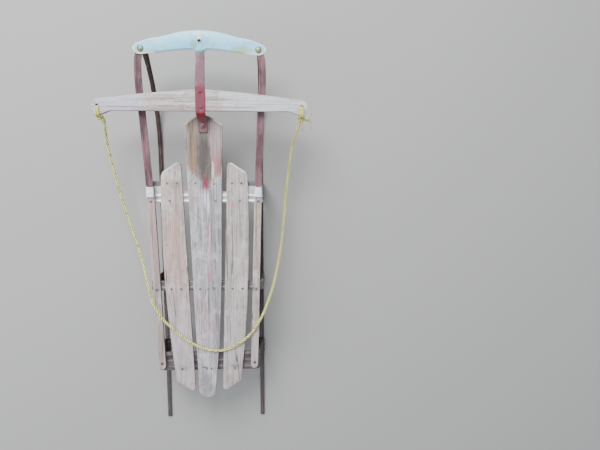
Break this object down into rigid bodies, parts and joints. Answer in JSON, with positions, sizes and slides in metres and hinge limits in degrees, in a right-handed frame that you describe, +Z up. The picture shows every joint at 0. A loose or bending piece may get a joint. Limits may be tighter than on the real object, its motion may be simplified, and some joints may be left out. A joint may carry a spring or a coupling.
{
  "type": "steerable runner sled",
  "caption": "Slatted wooden coasting sled on pressed steel arches and spring steel runners, steered by a wooden bar that bends the runners, with a tow rope.",
  "frame": {"origin": "on the floor under the middle of the sled's outline, without its rope", "axes": "+Y forwards towards the bumper, +X to the sled's right, +Z up"},
  "size_m": [0.5945, 1.222, 0.1978],
  "materials": {
    "deck_wood": "weathered grey bare wood",
    "rail_wood": "weathered grey bare wood with a trace of red stain",
    "bar_wood": "weathered grey bare wood",
    "runner_paint": "faded red paint, worn to brown steel low down",
    "strap_paint": "faded red paint",
    "bumper_paint": "pale ice blue paint with green tarnish at the ends",
    "arch_steel": "bare galvanised sheet, dulled",
    "clip_steel": "bright plated sheet",
    "bolt_steel": "dark weathered steel",
    "rivet_steel": "tarnished rivets under thin paint",
    "rope_yarn": "twisted yellow cord, dirty"
  },
  "bodies": {
    "root": {"deck_plank_center": "deck_wood", "deck_plank_left": "deck_wood", "deck_plank_right": "deck_wood", "side_rail_left": "rail_wood", "side_rail_right": "rail_wood", "arch_front": "arch_steel", "arch_middle": "arch_steel", "arch_rear": "arch_steel", "runner_rear_left": "runner_paint", "runner_rear_right": "runner_paint", "rail_clip_left": "clip_steel", "rail_clip_right": "clip_steel", "steering_pivot_bolt": "bolt_steel", "rope_loop": "rope_yarn"},
    "steering": {"steering_bar": "bar_wood", "steering_strap": "strap_paint", "rope_tie_left": "rope_yarn", "rope_tie_right": "rope_yarn"},
    "bumper": {"bumper": "bumper_paint", "bumper_link_rivet": "rivet_steel", "bumper_end_rivets": "rivet_steel"},
    "front_runner_left": {"runner_front_left": "runner_paint"},
    "front_runner_right": {"runner_front_right": "runner_paint"}
  },
  "joints": [
    {"name": "steering_pivot", "type": "hinge", "parent": "root", "child": "steering", "pos_m": [0, 0.357, 0.155], "axis": [0, 0, 1], "range_deg": [-10, 10], "stiffness_Nm_per_rad": 25},
    {"name": "bumper_link", "type": "hinge", "parent": "steering", "child": "bumper", "pos_m": [0, 0.582, 0.176], "axis": [0, 0, 1], "range_deg": [-10, 10]},
    {"name": "runner_flex_left", "type": "hinge", "parent": "root", "child": "front_runner_left", "pos_m": [-0.158, 0.166, 0.08], "axis": [0, 0, 1], "range_deg": [-5.7, 5.7]},
    {"name": "runner_flex_right", "type": "hinge", "parent": "root", "child": "front_runner_right", "pos_m": [0.158, 0.166, 0.08], "axis": [0, 0, 1], "range_deg": [-5.7, 5.7]}
  ],
  "couplings": [
    {"joint": "bumper_link", "follows": "steering_pivot", "ratio": -1},
    {"joint": "runner_flex_left", "follows": "steering_pivot", "ratio": 0.57},
    {"joint": "runner_flex_right", "follows": "steering_pivot", "ratio": 0.57}
  ]
}
